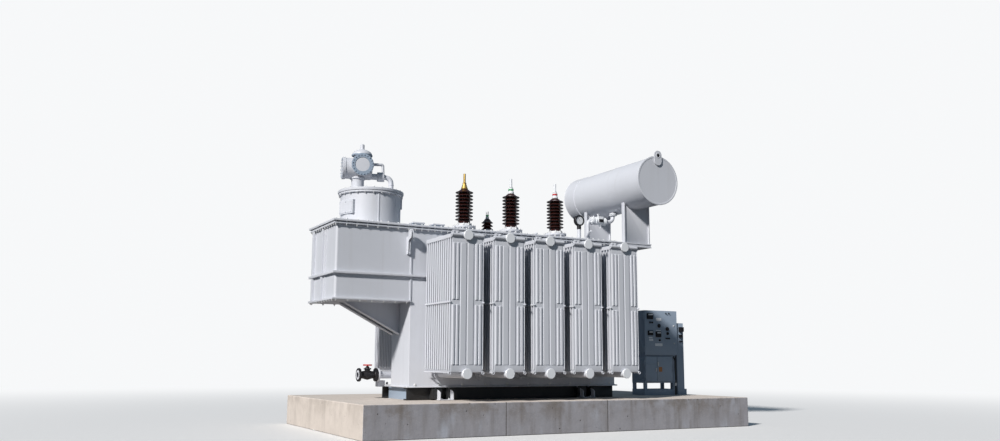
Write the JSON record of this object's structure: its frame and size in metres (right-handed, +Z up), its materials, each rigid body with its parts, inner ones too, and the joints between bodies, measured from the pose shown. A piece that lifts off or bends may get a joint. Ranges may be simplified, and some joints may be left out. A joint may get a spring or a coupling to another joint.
{
  "type": "power transformer",
  "caption": "Oil-filled power transformer on a concrete plinth, with radiator banks, brown bushings, a side box with turret, an oil conservator and control cabinets.",
  "frame": {"origin": "middle of the overall footprint, on the ground under the plinth", "axes": "+X along the long side towards the conservator and the cabinets, -Y the side of the radiator bank in view, +Z up"},
  "size_m": [6.76, 3.65, 4.4859],
  "materials": {
    "grey_paint": "satin light grey paint",
    "concrete": "cast concrete, matt",
    "porcelain": "brown glaze",
    "black_iron": "black paint on cast iron",
    "red_paint": "red paint",
    "cabinet_paint": "blue-grey paint",
    "rubber": "black sheath"
  },
  "bodies": {
    "transformer": {"bushing_turret_1": "grey_paint", "bushing_turret_2": "grey_paint", "bushing_turret_3": "grey_paint", "cabinet_stand": "cabinet_paint", "cable_column": "cabinet_paint", "cable_conduit": "rubber", "concrete_plinth": "concrete", "conservator_end_front": "grey_paint", "conservator_end_rear": "grey_paint", "conservator_platform": "grey_paint", "conservator_saddle_front": "grey_paint", "conservator_saddle_rear": "grey_paint", "conservator_shell": "grey_paint", "control_cabinet": "cabinet_paint", "cross_beam_left": "grey_paint", "cross_beam_right": "grey_paint", "dial_gauge": "black_iron", "drain_pipe": "grey_paint", "drain_valve": "black_iron", "drive_head": "grey_paint", "hatch_cover_1": "grey_paint", "hatch_cover_2": "grey_paint", "head_pipe": "grey_paint", "hv_bushing_1": "porcelain", "hv_bushing_2": "porcelain", "hv_bushing_3": "porcelain", "lower_cabinet": "cabinet_paint", "neutral_bushing": "porcelain", "radiator_front_1": "grey_paint", "radiator_front_2": "grey_paint", "radiator_front_3": "grey_paint", "radiator_front_4": "grey_paint", "radiator_front_5": "grey_paint", "radiator_rear_1": "grey_paint", "radiator_rear_2": "grey_paint", "radiator_rear_3": "grey_paint", "radiator_rear_4": "grey_paint", "radiator_rear_5": "grey_paint", "relay_pipe": "grey_paint", "side_box_floor": "grey_paint", "side_box_lower": "grey_paint", "side_box_upper": "grey_paint", "skid_front": "grey_paint", "skid_rear": "grey_paint", "tank_cover": "grey_paint", "tank_lower": "grey_paint", "tank_rim": "grey_paint", "tank_upper": "grey_paint", "turret_body": "grey_paint", "turret_cover": "grey_paint"},
    "handwheel": {"valve_handwheel": "red_paint"},
    "cabinet_door": {"control_cabinet_door": "cabinet_paint"},
    "left_door": {"lower_door_left": "cabinet_paint"},
    "right_door": {"lower_door_right": "cabinet_paint"}
  },
  "joints": [
    {"name": "handwheel_turn", "type": "hinge", "parent": "transformer", "child": "handwheel", "pos_m": [-2.4803, 0.015, 0.9409], "axis": [0, 0, 1], "range_deg": [0, 1800]},
    {"name": "cabinet_door_swing", "type": "hinge", "parent": "transformer", "child": "cabinet_door", "pos_m": [2.316, -0.504, 1.5225], "axis": [0, 0, -1], "range_deg": [0, 110]},
    {"name": "left_door_swing", "type": "hinge", "parent": "transformer", "child": "left_door", "pos_m": [2.316, -0.504, 0.905], "axis": [0, 0, -1], "range_deg": [0, 100]},
    {"name": "right_door_swing", "type": "hinge", "parent": "transformer", "child": "right_door", "pos_m": [2.924, -0.504, 0.905], "axis": [0, 0, 1], "range_deg": [0, 100]}
  ]
}
